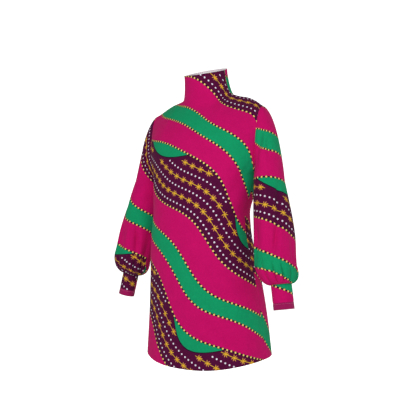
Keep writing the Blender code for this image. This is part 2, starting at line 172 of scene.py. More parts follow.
def floor_sheet():
    """The profile spun round the upright axis."""
    turns = np.arange(FLOOR_SIDES) / FLOOR_SIDES * 2 * math.pi
    points = [(0.0, 0.0, FLOOR_PROFILE[0][1])]
    for reach, height in FLOOR_PROFILE[1:]:
        points += [(math.cos(turn) * reach, math.sin(turn) * reach, height) for turn in turns]
    faces = [(0, 1 + k, 1 + (k + 1) % FLOOR_SIDES) for k in range(FLOOR_SIDES)]
    for ring in range(len(FLOOR_PROFILE) - 2):
        first, second = 1 + ring * FLOOR_SIDES, 1 + (ring + 1) * FLOOR_SIDES
        for k in range(FLOOR_SIDES):
            after = (k + 1) % FLOOR_SIDES
            faces.append((first + k, second + k, second + after, first + after))
    return add_mesh("floor", points, faces, floor_material())


def floor_material():
    """Pale paper, seen a little brighter than the light it gives back."""
    material, tree, shader = add_material("pale_paper", {
        "Base Color": (0.9, 0.9, 0.9, 1), "Roughness": 0.95, "Emission Color": (1, 1, 1, 1)})
    path = tree.nodes.new("ShaderNodeLightPath")
    glow = add_node(tree, "MapRange", {"To Min": FLOOR_GLOW_GIVEN, "To Max": FLOOR_GLOW_SEEN,
                                       "Value": path.outputs["Is Camera Ray"]})
    feed(tree, shader, {"Emission Strength": glow.outputs["Result"]})
    return material


floor = floor_sheet()
floor.data.shade_smooth()
print("floor:", len(floor.data.polygons), "faces")

# %% [markdown]
# ## The cut, in millimetres
#
# Cloth that is cut to a shape is easiest to make the way it is drafted: a few named sections, and
# smooth curves through them. These are the same sections that the solids were made from, so the cloth
# lies on them. The heights are measured from the base of the neck.

# %% Body sections
# height, half width, depth in front, depth behind, where the side seam lies from front to back
BODY_SECTIONS = (
    (-850, 211, 162, 162, 13), (-708, 198, 152, 152, 6), (-581, 184, 143, 142, -8),
    (-486, 171, 133, 130, -26), (-420, 163, 127, 122, -32), (-370, 160, 124, 118, -31),
    (-320, 169, 130, 114, -20), (-285, 175, 135, 114, -9), (-250, 180, 137, 114, 0),
    (-150, 200, 128, 115, 7), (-60, 211, 98, 107, 12), (40, 211, 63, 79, 15),
)
SECTION_SQUARENESS = 2.25
HEM_HEIGHT = -816
# at the middle of the front (-1) and of the back (1), as in the other tables of two below
HEM_DROP = {-1: 25, 1: 4}

# %% Armhole, shoulder and neck
UNDERARM_HEIGHT = -250
SHOULDER_TIP = (199, 12, -43)
ARMHOLE_REACH = {-1: 42, 1: 50}
ARMHOLE_ROUNDNESS = 0.72
# height, distance from the middle of the body
ARMHOLE_WIDTHS = ((-250, 180), (-232, 189), (-190, 194), (-150, 196), (-90, 198), (-43, 199))
SHOULDER_LINE = ((84, 15, 7), (112, 18, -2), (141, 19, -9), (170, 17, -22), (199, 12, -43))
# distance from the middle, height
SHOULDER_RIDGE = ((0, 44), (45, 25), (84, 7), (112, -2), (141, -9), (170, -22), (199, -43), (227, -65))
SHOULDER_ROLL_HEIGHT = 150
SHOULDER_ROLL_SQUARENESS = 2.3
SHOULDER_STEPS = 200
# foot of the neck at the middle: place from front to back, height
NECK_FOOT = {-1: (-68, -40), 1: (76, 12)}
# how soon the foot leaves the neck's side, forwards and in height
NECK_FOOT_POWERS = (0.95, 1.3)
# half width, half depth, middle from front to back, height
NECK_NARROW = (75, 63, 2, 22)
NECK_TOP = (72, 63, -6, 79.5)
NECK_TILT = {-1: 0.30, 1: 0.36}
# how far up the neck's lower and upper part its curve's two pulls lie
NECK_PULLS = (0.75, 0.45)
# share of the panel's half width that the neck takes at the shoulder
NECK_SHARE = 5 / 12

# %% Sleeve and cuff
# height, outwards, front to back, half across, half fore and aft
SLEEVE_SECTIONS = (
    (-276, 228, -4, 45, 56),
    (-340, 240, -14, 53, 60),
    (-400, 251, -22, 59, 63),
    (-456, 260, -30, 62, 65),
    (-524, 270, -45, 61, 63),
)
SLEEVE_FALL = 56
SLEEVE_CLOSING = 2.1
CUFF_TOP = (284, -37, -579)
CUFF_END = (297, -45, -650)
CUFF_BAND_LENGTH = 20
CUFF_HALF_LONG = 31.4
CUFF_HALF_SHORT = 26.6
CUFF_TURN = math.radians(45)
# share of the round, depth, reach above the cuff
GATHERS = (
    (1.05, 3.4, 62), (0.85, 4.4, 84), (1.10, 3.6, 58), (0.90, 4.8, 92), (0.80, 3.8, 60), (1.15, 4.6, 76),
    (1.00, 3.2, 54), (1.20, 4.4, 88), (0.85, 3.6, 62), (1.05, 4.8, 80), (1.15, 3.4, 58), (0.90, 4.2, 72),
)
GATHER_DEEPEST = 16
GATHER_OUT = 0.4
GATHER_AT_CUFF = 0.12
GATHER_POINTEDNESS = 1.4


# %% Smooth curves through a few sizes
def eased(t, start, end, start_pull, end_pull):
    """The cubic curve from start to end that leaves and arrives with the given pulls."""
    return (((2 * t**3 - 3 * t**2 + 1) * start + (t**3 - 2 * t**2 + t) * start_pull)
            + ((3 * t**2 - 2 * t**3) * end + (t**3 - t**2) * end_pull))


def smooth_between(table, at, column=1):
    """Read a smooth curve through a table's first column and another, never swinging past its rows."""
    pairs = np.array(sorted((float(row[0]), float(row[column])) for row in table))
    places, values = pairs[:, 0], pairs[:, 1]
    steps = np.diff(places)
    rises = np.diff(values) / steps
    slopes = np.zeros_like(values)
    slopes[0], slopes[-1] = rises[0], rises[-1]
    for i in range(1, len(places) - 1):
        if rises[i - 1] * rises[i] > 0:
            before = 2 * steps[i] + steps[i - 1]
            after = steps[i] + 2 * steps[i - 1]
            slopes[i] = (before + after) / (before / rises[i - 1] + after / rises[i])
    at = np.clip(np.asarray(at, float), places[0], places[-1])
    k = np.clip(np.searchsorted(places, at) - 1, 0, len(steps) - 1)
    return eased((at - places[k]) / steps[k], values[k], values[k + 1],
                 steps[k] * slopes[k], steps[k] * slopes[k + 1])


def read_sections(table, height):
    """All of a table's sizes at a height."""
    return [smooth_between(table, height, column) for column in range(1, len(table[0]))]


def unit(vector):
    return vector / np.maximum(np.linalg.norm(vector, axis=-1, keepdims=True), 1e-9)


def walked(rows, axis):
    """Distance walked along a path or a grid of points, starting at nought."""
    step = np.linalg.norm(np.diff(rows, axis=axis), axis=-1)
    start = np.zeros_like(np.take(step, [0], axis))
    return np.concatenate([start, np.cumsum(step, axis)], axis)


def read_path(path, reach, at):
    """Read a path of points at distances along it."""
    return np.stack([np.interp(at, reach, path[:, k]) for k in range(3)], -1)


def shoulder_place(share):
    """Places on the shoulder seam, from the neck (0) to the tip (1), even along its length."""
    line = np.array(SHOULDER_LINE, float)
    reach = walked(line, 0)
    fine = np.linspace(0, reach[-1], SHOULDER_STEPS)
    curve = np.stack([smooth_between(np.column_stack([reach, line]), fine, k) for k in (1, 2, 3)], -1)
    reach = walked(curve, 0)
    return read_path(curve, reach, np.asarray(share) * reach[-1])


# %% [markdown]
# ## Front and back
#
# Each panel is a grid: columns run from side seam to side seam, rows from the hem up to the shoulder,
# and the middle columns go on up the neck. Near a seam or an edge the grid gets two extra lines, so
# that the cloth can dip into the seam there.

# %% Places on the trunk, the armhole and the neck
def trunk_place(height, angle, side):
    """Place at a height and an angle from the panel's middle, in front (-1) or behind (1)."""
    half_width, front, back, middle = read_sections(BODY_SECTIONS, height)
    power = 2 / SECTION_SQUARENESS
    x = half_width * np.sign(angle) * np.abs(np.sin(angle)) ** power
    depth = back if side > 0 else front
    return x, middle + side * depth * np.abs(np.cos(angle)) ** power


def armhole_place(side, share):
    """Places on the armhole's edge, from the underarm (0) to the shoulder tip (1)."""
    turn = np.pi * np.asarray(share, float)
    up = (1 - np.cos(turn)) / 2
    z = UNDERARM_HEIGHT + (SHOULDER_TIP[2] - UNDERARM_HEIGHT) * up
    under_y = smooth_between(BODY_SECTIONS, UNDERARM_HEIGHT, 4)
    bow = np.clip(np.sin(turn), 0, None) ** ARMHOLE_ROUNDNESS
    y = under_y + (SHOULDER_TIP[1] - under_y) * up + side * ARMHOLE_REACH[side] * bow
    return np.stack([smooth_between(ARMHOLE_WIDTHS, z), y, z], -1)


def neck_foot(angle, side):
    side_x, side_y, side_z = SHOULDER_LINE[0]
    end_y, end_z = NECK_FOOT[side]
    inward = np.clip(np.cos(angle), 0, None)
    ease_y, ease_z = (inward**power for power in NECK_FOOT_POWERS)
    return np.stack([side_x * np.sin(angle), side_y + (end_y - side_y) * ease_y,
                     side_z + (end_z - side_z) * ease_z], -1)


def neck_ring(size, angle, side):
    half_width, half_depth, middle, height = size
    y = middle + side * half_depth * np.cos(angle)
    return np.stack([half_width * np.sin(angle), y, height + NECK_TILT[side] * (y - middle)], -1)


# %% Lines of the panel's grid
COLUMNS = 120
SKIRT_ROWS = 112
UPPER_ROWS = 60
NECK_ROWS = 22
EDGE_STEPS = (1.5, 4.0)
PANEL_HALF_ROUND = 300
PANEL_UPPER_LENGTH = 230
NECK_LENGTH = 85
CLOSEST_LINES = 0.6
# how steeply the easing towards the armhole and towards the panel's upper edge sets in
ARMHOLE_EASE = 5
TOP_EASE = 3


def with_edges(shares, edges, length):
    """Add lines close to each edge. Shares run over the given length in millimetres."""
    extra = [edge + way * step / length for edge, way in edges for step in EDGE_STEPS]
    keep = [s for s in shares if all(abs(s - e) > CLOSEST_LINES / length for e in extra)]
    return np.array(sorted(keep + extra))


across = with_edges(np.linspace(-1, 1, COLUMNS + 1), [(-1, 1), (1, -1)], PANEL_HALF_ROUND)
skirt_shares = with_edges(np.linspace(0, 1, SKIRT_ROWS + 1), [(0, 1)], -HEM_HEIGHT + UNDERARM_HEIGHT)
upper_shares = with_edges(np.linspace(0, 1, UPPER_ROWS + 1)[1:], [(1, -1)], PANEL_UPPER_LENGTH)
neck_shares = with_edges(np.linspace(0, 1, NECK_ROWS + 1)[1:], [(1, -1)], NECK_LENGTH)
neck_columns = np.where(np.abs(across) < NECK_SHARE + 1e-6)[0]
print("panel grid:", len(across), "columns,", len(skirt_shares) + len(upper_shares), "rows,",
      len(neck_shares), "rows up the neck")


# %% Panel surface
def skirt_rows(side):
    angle = across[None, :] * math.pi / 2
    hem = HEM_HEIGHT - HEM_DROP[side] * np.cos(angle) ** 2
    z = hem + (UNDERARM_HEIGHT - hem) * skirt_shares[:, None]
    x, y = trunk_place(z, angle + 0 * z, side)
    return np.stack([x, y, z], -1)


def panel_top(side):
    """The panel's upper edge: shoulder seam, foot of the neck, shoulder seam."""
    size = np.abs(across)
    beyond = np.clip((size - NECK_SHARE) / (1 - NECK_SHARE), 0, 1)
    shoulder = shoulder_place(beyond) * np.stack([np.sign(across), size**0, size**0], -1)
    foot = neck_foot(np.clip(across / NECK_SHARE, -1, 1) * math.pi / 2, side)
    return np.where((size < NECK_SHARE + 1e-6)[:, None], foot, shoulder)


def raw_upper_rows(side, shares):
    """Rows between underarm and shoulder, before they are eased to the panel's upper edge."""
    shares = np.asarray(shares, float)
    edge = armhole_place(side, shares)
    edge_share = (1 - np.cos(np.pi * shares))[:, None] / 2
    weight = across[None, :] ** 2
    top_z = panel_top(side)[:, 2][None, :]
    climb = weight * edge_share + (1 - weight) * shares[:, None]
    z = UNDERARM_HEIGHT + (top_z - UNDERARM_HEIGHT) * climb
    widest = smooth_between(BODY_SECTIONS, edge[:, 2])
    reach = np.minimum(1, edge[:, 0] / widest) ** (SECTION_SQUARENESS / 2)
    x, y = trunk_place(z, across[None, :] * np.arcsin(reach)[:, None], side)
    ridge_y = smooth_between(SHOULDER_LINE, np.abs(x))
    below = (smooth_between(SHOULDER_RIDGE, np.abs(x)) - z) / SHOULDER_ROLL_HEIGHT
    left = 1 - np.clip(below, 0, 1)
    roll = (1 - left**SHOULDER_ROLL_SQUARENESS) ** (1 / SHOULDER_ROLL_SQUARENESS)
    rows = np.stack([x, ridge_y + (y - ridge_y) * roll, z], -1)
    for end, sign in ((0, -1), (-1, 1)):
        miss = edge * (sign, 1, 1) - rows[:, end]
        rows = rows + (np.clip(sign * across, 0, 1) ** ARMHOLE_EASE)[None, :, None] * miss[:, None, :]
    return rows


def panel_rows(side):
    """All rows of the panel below the neck, and the rows up the neck."""
    ease = (panel_top(side) - raw_upper_rows(side, [1.0])[0])[None]
    upper = raw_upper_rows(side, upper_shares) + ease * (upper_shares**TOP_EASE)[:, None, None]
    body = np.concatenate([skirt_rows(side), upper])
    foot = body[-1, neck_columns]
    angle = across[neck_columns] / NECK_SHARE * math.pi / 2
    narrow, top = neck_ring(NECK_NARROW, angle, side), neck_ring(NECK_TOP, angle, side)
    first = foot + (narrow - foot) * NECK_PULLS[0]
    second = narrow + (top - narrow) * NECK_PULLS[1]
    share = neck_shares[:, None, None]
    left = 1 - share
    neck = left**3 * foot + 3 * share * left**2 * first + 3 * share**2 * left * second + share**3 * top
    return body, neck


# %% [markdown]
# ## Cloth pieces as meshes
#
# A cloth piece is kept as its points, its four-cornered faces, and the place of each corner on the flat
# cloth, in metres. The last lets the print follow the cloth as it does on a cut piece.

# %% Grids, normals and flat places
def grid_numbers(first, rows, columns):
    return first + np.arange(rows * columns).reshape(rows, columns)


def grid_quads(index, closed=False):
    """Faces between the rows of a grid of point numbers; the last column may meet the first."""
    right = np.roll(index, -1, 1) if closed else index[:, 1:]
    left = index if closed else index[:, :-1]
    return np.stack([left[:-1], right[:-1], right[1:], left[1:]], -1).reshape(-1, 4)


def grid_corners(values):
    """The same corners read from a grid that has its last column written out."""
    around = [values[:-1, :-1], values[:-1, 1:], values[1:, 1:], values[1:, :-1]]
    return np.stack(around, 2).reshape(-1, 4, 2)


def point_normals(points, quads):
    area = np.cross(points[quads[:, 2]] - points[quads[:, 0]], points[quads[:, 3]] - points[quads[:, 1]])
    normals = np.zeros_like(points)
    for corner in range(4):
        np.add.at(normals, quads[:, corner], area)
    return unit(normals)


def border_edges(quads):
    """Directed edges that only one face uses."""
    edges = np.concatenate([quads[:, [k, (k + 1) % 4]] for k in range(4)])
    size = int(quads.max()) + 1
    keys = edges[:, 0] * size + edges[:, 1]
    twins = edges[:, 1] * size + edges[:, 0]
    return edges[~np.isin(keys, twins)]


def relax(points, quads, weight, times):
    """Ease sharp bends out of a surface by drawing each point towards the middle of its neighbours."""
    edges = np.concatenate([quads[:, [k, (k + 1) % 4]] for k in range(4)])
    edges = np.unique(np.sort(edges, 1), axis=0)
    count = np.bincount(edges.ravel(), minlength=len(points))[:, None]
    for _ in range(times):
        total = np.zeros_like(points)
        np.add.at(total, edges[:, 0], points[edges[:, 1]])
        np.add.at(total, edges[:, 1], points[edges[:, 0]])
        points = points + (total / count - points) * weight[:, None]
    return points


# %% [markdown]
# ## Folds
#
# The cloth is worn close, so its folds are soft: a shallow trough that drifts a little as it falls.
# Each is one row of a table, because their unevenness is what makes them look real.

# %% Fold tables
# side (-1 front, 1 back), degrees round from its middle, height, half width in degrees, half length,
# drift in degrees for each 100 mm down, depth (a ridge is below nought)
BODY_FOLDS = (
    (-1, 62, -300, 11, 60, -22, 3.6), (-1, -62, -300, 11, 60, 22, 3.0),
    (-1, 44, -700, 13, 150, 4, 3.6), (-1, -36, -690, 12, 150, -4, 3.0),
    (-1, 6, -730, 11, 110, 2, 2.2), (-1, 74, -235, 6, 34, -34, 2.4),
    (-1, -74, -235, 6, 34, 34, 2.2), (-1, 70, -405, 8, 34, 16, 2.0),
    (-1, -70, -395, 8, 34, -16, 1.8), (1, 55, -310, 12, 70, -20, 3.0),
    (1, -58, -310, 12, 70, 20, 3.2), (1, 24, -680, 13, 160, 3, 3.4),
    (1, -30, -700, 13, 150, -3, 3.6), (1, 8, -395, 16, 22, 0, 1.8),
    (1, 70, -240, 7, 40, -26, 2.2), (1, -71, -246, 7, 38, 26, 2.0),
)
# degrees round from the body's side, height, half width, half length, drift, depth
SLEEVE_FOLDS = (
    (137, -335, 9, 42, -16, 7.5), (137, -335, 4.5, 36, -16, 2.5), (158, -340, 8, 50, -8, -0.8),
    (118, -440, 9, 58, -20, 8.0), (118, -440, 4.5, 50, -20, 3.0), (134, -430, 8, 56, -18, -1.2),
    (96, -470, 8, 50, -12, 4.6), (82, -440, 8, 60, -6, -2.2), (52, -460, 9, 46, -20, 7.5),
    (52, -460, 4.5, 40, -20, 2.5), (36, -478, 8, 42, -20, -1.8), (12, -500, 10, 60, -6, 4.6),
    (172, -475, 10, 60, 5, 5.0), (190, -490, 8, 50, 4, 3.0), (214, -400, 10, 90, -4, 6.0),
    (236, -420, 9, 60, -3, -2.4), (262, -470, 10, 70, 5, 5.0), (288, -420, 8, 60, 2, -2.2),
    (318, -430, 11, 80, -3, 4.6), (104, -152, 8, 28, -45, 6.0), (118, -160, 7, 28, -40, -2.4),
    (126, -178, 8, 34, -12, 3.8), (62, -170, 9, 34, -26, 4.6), (80, -195, 8, 34, -20, 3.0),
    (236, -180, 10, 50, 14, 4.0), (268, -215, 8, 40, 12, 3.0),
)


def fold_depth(folds, angle, height):
    """How far soft folds draw the cloth in at an angle in degrees and a height."""
    total = np.zeros(np.broadcast(angle, height).shape)
    for centre, middle, half_width, half_length, drift, depth in folds:
        line = centre + drift * (middle - height) / 100
        off = (angle - line + 180) % 360 - 180
        total += depth * np.exp(-((off / half_width) ** 2) - ((height - middle) / half_length) ** 2)
    return total


# %% Front and back as cloth
RELAX_FROM = -250
RELAX_FULL = -130
RELAX_TIMES = 40
RELAX_STRENGTH = 0.5
# the panels' folds end at this height, fade in over the next, and fade out steeply at the side seams
FOLDS_TOP = -110
FOLDS_FADE = 60
SIDE_FADE = 6


def panel_corners(rows, start):
    """Corners on the flat cloth of rows that begin at the start heights, measured from the middle."""
    wide = walked(rows, 1)
    wide = wide - wide[:, rows.shape[1] // 2][:, None]
    return grid_corners(np.stack([wide, walked(rows, 0) + start], -1) * MM)


def panel_piece(side):
    """Points, faces and flat places of the front or the back."""
    body, neck = panel_rows(side)
    body_index = grid_numbers(0, *body.shape[:2])
    neck_index = np.vstack([body_index[-1:, neck_columns], grid_numbers(body_index.size, *neck.shape[:2])])
    points = np.concatenate([body.reshape(-1, 3), neck.reshape(-1, 3)])
    quads = np.concatenate([grid_quads(body_index), grid_quads(neck_index)])
    weight = np.clip((points[:, 2] - RELAX_FROM) / (RELAX_FULL - RELAX_FROM), 0, 1)
    weight[np.unique(border_edges(quads))] = 0
    points = relax(points, quads, weight * RELAX_STRENGTH, RELAX_TIMES)
    body, neck = points[body_index], points[neck_index]

    hem = body[:1, :, 2]
    top = walked(body, 0)[-1:, neck_columns] + hem[:, neck_columns]
    corners = np.concatenate([panel_corners(body, hem), panel_corners(neck, top)])
    if side > 0:
        quads, corners = quads[:, ::-1], corners[:, ::-1]
        corners = corners * (-1, 1)

    degrees = np.zeros(len(points))
    degrees[:body_index.size] = np.tile(across * 90, body.shape[0])
    fade = np.clip(1 - (np.abs(degrees) / 90) ** SIDE_FADE, 0, 1)
    fade *= np.clip((FOLDS_TOP - points[:, 2]) / FOLDS_FADE, 0, 1)
    folds = [fold[1:] for fold in BODY_FOLDS if fold[0] == side]
    depth = fold_depth(folds, degrees, points[:, 2]) * fade
    points = points - point_normals(points, quads) * depth[:, None]
    return points, quads, corners


pieces = {"front": panel_piece(-1), "back": panel_piece(1)}
print("front:", len(pieces["front"][1]), "faces")

# %% [markdown]
# ## Sleeves and cuffs
#
# A sleeve is a stack of rings. The first lies on the armhole, the next ones fan over the shoulder, then
# it widens down the arm and closes quickly onto the cuff. There the cloth is gathered: each gather is
# a wave in the ring that is deepest a little above the cuff and fades out up the sleeve.

# %% Rings of the sleeve
AROUND_EACH_GATHER = 12
AROUND = AROUND_EACH_GATHER * len(GATHERS)
CAP_ROWS = 40
ARM_ROWS = 64
FALL_ROWS = 30
CUFF_ROWS = 14
BAND_ROWS = 8
CAP_LENGTH = 150
FALL_LENGTH = 70
# ways the cap leaves the armhole: underneath, at the top, and what each side adds
CAP_LEAVES = ((0.15, 0, -1), (1, -0.15, -0.85), (0.35, -0.22, 0))
CAP_PULLS = (0.7, 0.9)
# the gathered cloth keeps the width that it has this many rows above the fall
WIDTH_ROWS_ABOVE = 12
# rows over which the folds fade in below the armhole, and out above the cuff
FADE_ROWS_TOP = 10
FADE_ROWS_CUFF = 12

gather_place = np.arange(AROUND) / AROUND_EACH_GATHER
gather_ends = np.concatenate([[0], np.cumsum([row[0] for row in GATHERS])])
ring_angles = np.interp(gather_place, np.arange(len(GATHERS) + 1),
                        gather_ends / gather_ends[-1] * 2 * math.pi)


def gather_wave(above):
    """Outwards swing of the ring at a height above the cuff."""
    wave = np.zeros(AROUND)
    for number, (_, depth, reach) in enumerate(GATHERS):
        strength = smooth_between(((0, GATHER_AT_CUFF), (GATHER_DEEPEST, 1), (reach, 0)), above)
        off = gather_place - number
        off = (off + len(GATHERS) / 2) % len(GATHERS) - len(GATHERS) / 2
        bump = np.abs(np.cos(np.pi * off)) ** GATHER_POINTEDNESS * 2 - 1
        bump = np.where(np.abs(off) <= 0.5, bump, 0)
        wave += np.where(bump > 0, bump * GATHER_OUT, bump) * depth * strength
    return wave


def arm_axes(direction):
    """Outwards and forwards, across a sleeve that runs in a direction."""
    down = unit(np.asarray(direction, float))
    outwards = unit(np.array([1.0, 0, 0]) - down * down[0])
    forwards = np.cross(down, outwards)
    return outwards, -forwards if forwards[1] > 0 else forwards


def oval_ring(centre, direction, half_across, half_fore, turn):
    """Ring of a sleeve or cuff. Angle 0 is at the body's side, a quarter turn on is in front."""
    outwards, forwards = arm_axes(direction)
    cos, sin = np.cos(ring_angles - turn), np.sin(ring_angles - turn)
    radius = half_across * half_fore / np.sqrt((half_fore * cos) ** 2 + (half_across * sin) ** 2)
    return (centre + np.outer(-np.cos(ring_angles) * radius, outwards)
            + np.outer(np.sin(ring_angles) * radius, forwards))


def sleeve_section(height):
    x, y, half_across, half_fore = map(float, read_sections(SLEEVE_SECTIONS, height))
    return np.array([x, y, height]), half_across, half_fore


def sleeve_direction(height):
    step = 10
    above = sleeve_section(min(height + step, SLEEVE_SECTIONS[0][0]))[0]
    below = sleeve_section(max(height - step, SLEEVE_SECTIONS[-1][0]))[0]
    return unit(below - above)


def arm_ring(height):
    """The sleeve's ring at a height, without gathers, and the ring's middle."""
    centre, half_across, half_fore = sleeve_section(height)
    return oval_ring(centre, sleeve_direction(height), half_across, half_fore, 0), centre


def gathered(ring, middle, above):
    """A ring with the gathers that it has at a height above the cuff."""
    return ring + unit(ring - middle) * gather_wave(above)[:, None]


def cap_rings(first):
    """Rings that fan from the armhole over the shoulder to the first ring round the arm."""
    half = len(GATHERS) / 2
    front = gather_place <= half
    share = np.where(front, gather_place / half, 2 - gather_place / half)
    start = np.where(front[:, None], armhole_place(-1, share), armhole_place(1, share))
    direction = sleeve_direction(SLEEVE_SECTIONS[0][0])
    up = ((1 - np.cos(ring_angles)) / 2)[:, None]
    sway = np.sin(ring_angles)[:, None]
    under, top, aside = CAP_LEAVES
    leave = (1 - up) * under + up * top + sway * aside
    span = np.linalg.norm(first - start, axis=1)[:, None]
    leave, arrive = unit(leave) * span * CAP_PULLS[0], direction * span * CAP_PULLS[1]
    return [eased(t, start, first, leave, arrive)
            for t in with_edges(np.linspace(0, 1, CAP_ROWS + 1), [(0, 1)], CAP_LENGTH)]


def fall_rings():
    """Rings that close from the widest part of the sleeve onto the cuff."""
    cuff_top = np.array(CUFF_TOP, float)
    cuff_down = unit(np.array(CUFF_END, float) - cuff_top)
    end_height = SLEEVE_SECTIONS[-1][0]
    centre, half_across, half_fore = sleeve_section(end_height)
    arm_down = sleeve_direction(end_height)
    rings = []
    for turn in with_edges(np.linspace(0, 1, FALL_ROWS + 1)[1:], [(1, -1)], FALL_LENGTH) * math.pi / 2:
        t = math.sin(min(turn, math.pi / 2)) ** (2 / SLEEVE_CLOSING)
        middle = centre + (cuff_top - centre) * t
        down = unit(arm_down * (1 - t) + cuff_down * t)
        wide = oval_ring(middle, down, half_across, half_fore, 0)
        narrow = oval_ring(middle, down, CUFF_HALF_LONG, CUFF_HALF_SHORT, CUFF_TURN)
        ring = narrow + (wide - narrow) * max(0.0, math.cos(turn))
        rings.append(gathered(ring, middle, SLEEVE_FALL * (1 - t)))
    return rings


# %% Sleeve and cuffs as cloth
def tube_piece(rings, zero_row, widest=0):
    """A tube as a piece of cloth, from its underarm seam right round.

    Its flat rows are at least as wide as widest says, and its flat lengths run down from one row.
    """
    looped = np.concatenate([rings, rings[:, :1]], 1)
    wide, tall = walked(looped, 1), walked(looped, 0)
    round_length = np.maximum(wide[:, -1:], widest)
    wide = wide / wide[:, -1:] * round_length - round_length / 2
    flat = np.stack([wide, tall[zero_row] - tall], -1) * MM
    quads = grid_quads(grid_numbers(0, *rings.shape[:2]), True)[:, ::-1]
    return rings.reshape(-1, 3), quads, grid_corners(flat)[:, ::-1]


def sleeve_piece():
    top_height, end_height = SLEEVE_SECTIONS[0][0], SLEEVE_SECTIONS[-1][0]
    rings = cap_rings(arm_ring(top_height)[0])
    cap_count = len(rings)
    for height in np.linspace(top_height, end_height, ARM_ROWS + 1)[1:]:
        rings.append(gathered(*arm_ring(height), SLEEVE_FALL + height - end_height))
    arm_count = len(rings)
    rings = np.array(rings + fall_rings())

    kept = rings[arm_count - WIDTH_ROWS_ABOVE]
    widest = np.zeros((len(rings), 1))
    widest[arm_count:] = walked(np.concatenate([kept, kept[:1]]), 0)[-1]
    points, quads, corners = tube_piece(rings, cap_count - 1, widest)

    angles = np.tile(np.degrees(ring_angles), len(rings))
    row = np.repeat(np.arange(len(rings)), AROUND)
    fade = np.clip(row / FADE_ROWS_TOP, 0, 1) * np.clip((len(rings) - 1 - row) / FADE_ROWS_CUFF, 0, 1)
    depth = fold_depth(SLEEVE_FOLDS, angles, points[:, 2]) * fade
    return points - point_normals(points, quads) * depth[:, None], quads, corners


def cuff_piece(start_share, end_share, rows):
    """A straight stretch of the cuff."""
    top, end = np.array(CUFF_TOP, float), np.array(CUFF_END, float)
    length = np.linalg.norm(end - top) * (end_share - start_share)
    shares = with_edges(np.linspace(0, 1, rows + 1), [(0, 1), (1, -1)], length)
    shares = start_share + (end_share - start_share) * shares
    oval = (CUFF_HALF_LONG, CUFF_HALF_SHORT, CUFF_TURN)
    rings = [oval_ring(top + (end - top) * share, end - top, *oval) for share in shares]
    return tube_piece(np.array(rings), 0)


def mirrored(piece):
    points, quads, corners = piece
    return points * (-1, 1, 1), quads[:, ::-1], corners[:, ::-1] * (-1, 1)


cuff_length = float(np.linalg.norm(np.subtract(CUFF_END, CUFF_TOP)))
band_start = 1 - CUFF_BAND_LENGTH / cuff_length
left_pieces = {
    "sleeve": sleeve_piece(),
    "cuff": cuff_piece(0, band_start, CUFF_ROWS),
    "cuff_band": cuff_piece(band_start, 1, BAND_ROWS),
}
for name, piece in left_pieces.items():
    pieces[name + "_left"] = piece
    pieces[name + "_right"] = mirrored(piece)
print("sleeve:", len(left_pieces["sleeve"][1]), "faces")

# %% [markdown]
# ## Seams
#
# Where two pieces are sewn together, both dip a little towards the inside, which reads as a seam. The
# dip needs one direction that both pieces agree on, so each border point takes the mean of its own
# normal and those of the other pieces' border points close by.

# %% Dip the cloth into its seams
# depth and half width of the dip
SEAM_DIP = 0.9
SEAM_SPREAD = 1.8
# how near another piece's border counts, how fast that falls off, and how far from a seam cloth moves
SEAM_NEAR = 4.0
SEAM_MEETING = 1.2
SEAM_REACH = 8
POINTS_AT_A_TIME = 4000


def seam_dips(pieces):
    """Move each piece's points near a sewn edge inwards. Returns the pieces with new points."""
    normals = {name: point_normals(points, quads) for name, (points, quads, _) in pieces.items()}
    borders = {name: np.unique(border_edges(quads)) for name, (_, quads, _) in pieces.items()}
    result = {}
    for name, (points, quads, corners) in pieces.items():
        mine = borders[name]
        others = [(pieces[other][0][borders[other]], normals[other][borders[other]])
                  for other in pieces if other != name]
        places = np.concatenate([place for place, _ in others])
        ways = np.concatenate([way for _, way in others])
        away = np.linalg.norm(points[mine][:, None] - places[None], axis=2)
        close = np.exp(-((away / SEAM_MEETING) ** 2)) * (away < SEAM_NEAR)
        sewn = close.sum(1) > 0.5
        shared = unit(normals[name][mine] + unit(close @ ways + 1e-9) * sewn[:, None])
        seam_points, seam_ways = points[mine][sewn], shared[sewn]
        moved = points.copy()
        if len(seam_points):
            low, high = seam_points.min(0) - SEAM_REACH, seam_points.max(0) + SEAM_REACH
            near = np.where(((points > low) & (points < high)).all(1))[0]
            for start in range(0, len(near), POINTS_AT_A_TIME):
                some = near[start:start + POINTS_AT_A_TIME]
                gap = np.linalg.norm(points[some][:, None] - seam_points[None], axis=2)
                nearest = gap.argmin(1)
                dip = SEAM_DIP * np.exp(-((gap.min(1) / SEAM_SPREAD) ** 2))
                moved[some] -= seam_ways[nearest] * dip[:, None]
        result[name] = (moved, quads, corners)
    return result


pieces = seam_dips(pieces)

# %% [markdown]
# ## Print
#
# The cloth has a bold printed pattern. What is printed here is a plain pattern of its own in the same
# colours and at the same scale: waving diagonal bands, edged with gold dots on a dark line, and dark
# fields with rows of white dots and leafy stems. It is worked out in the shader from each corner's
# place on the flat cloth, so that it runs with the grain of every cut piece and breaks at the seams.

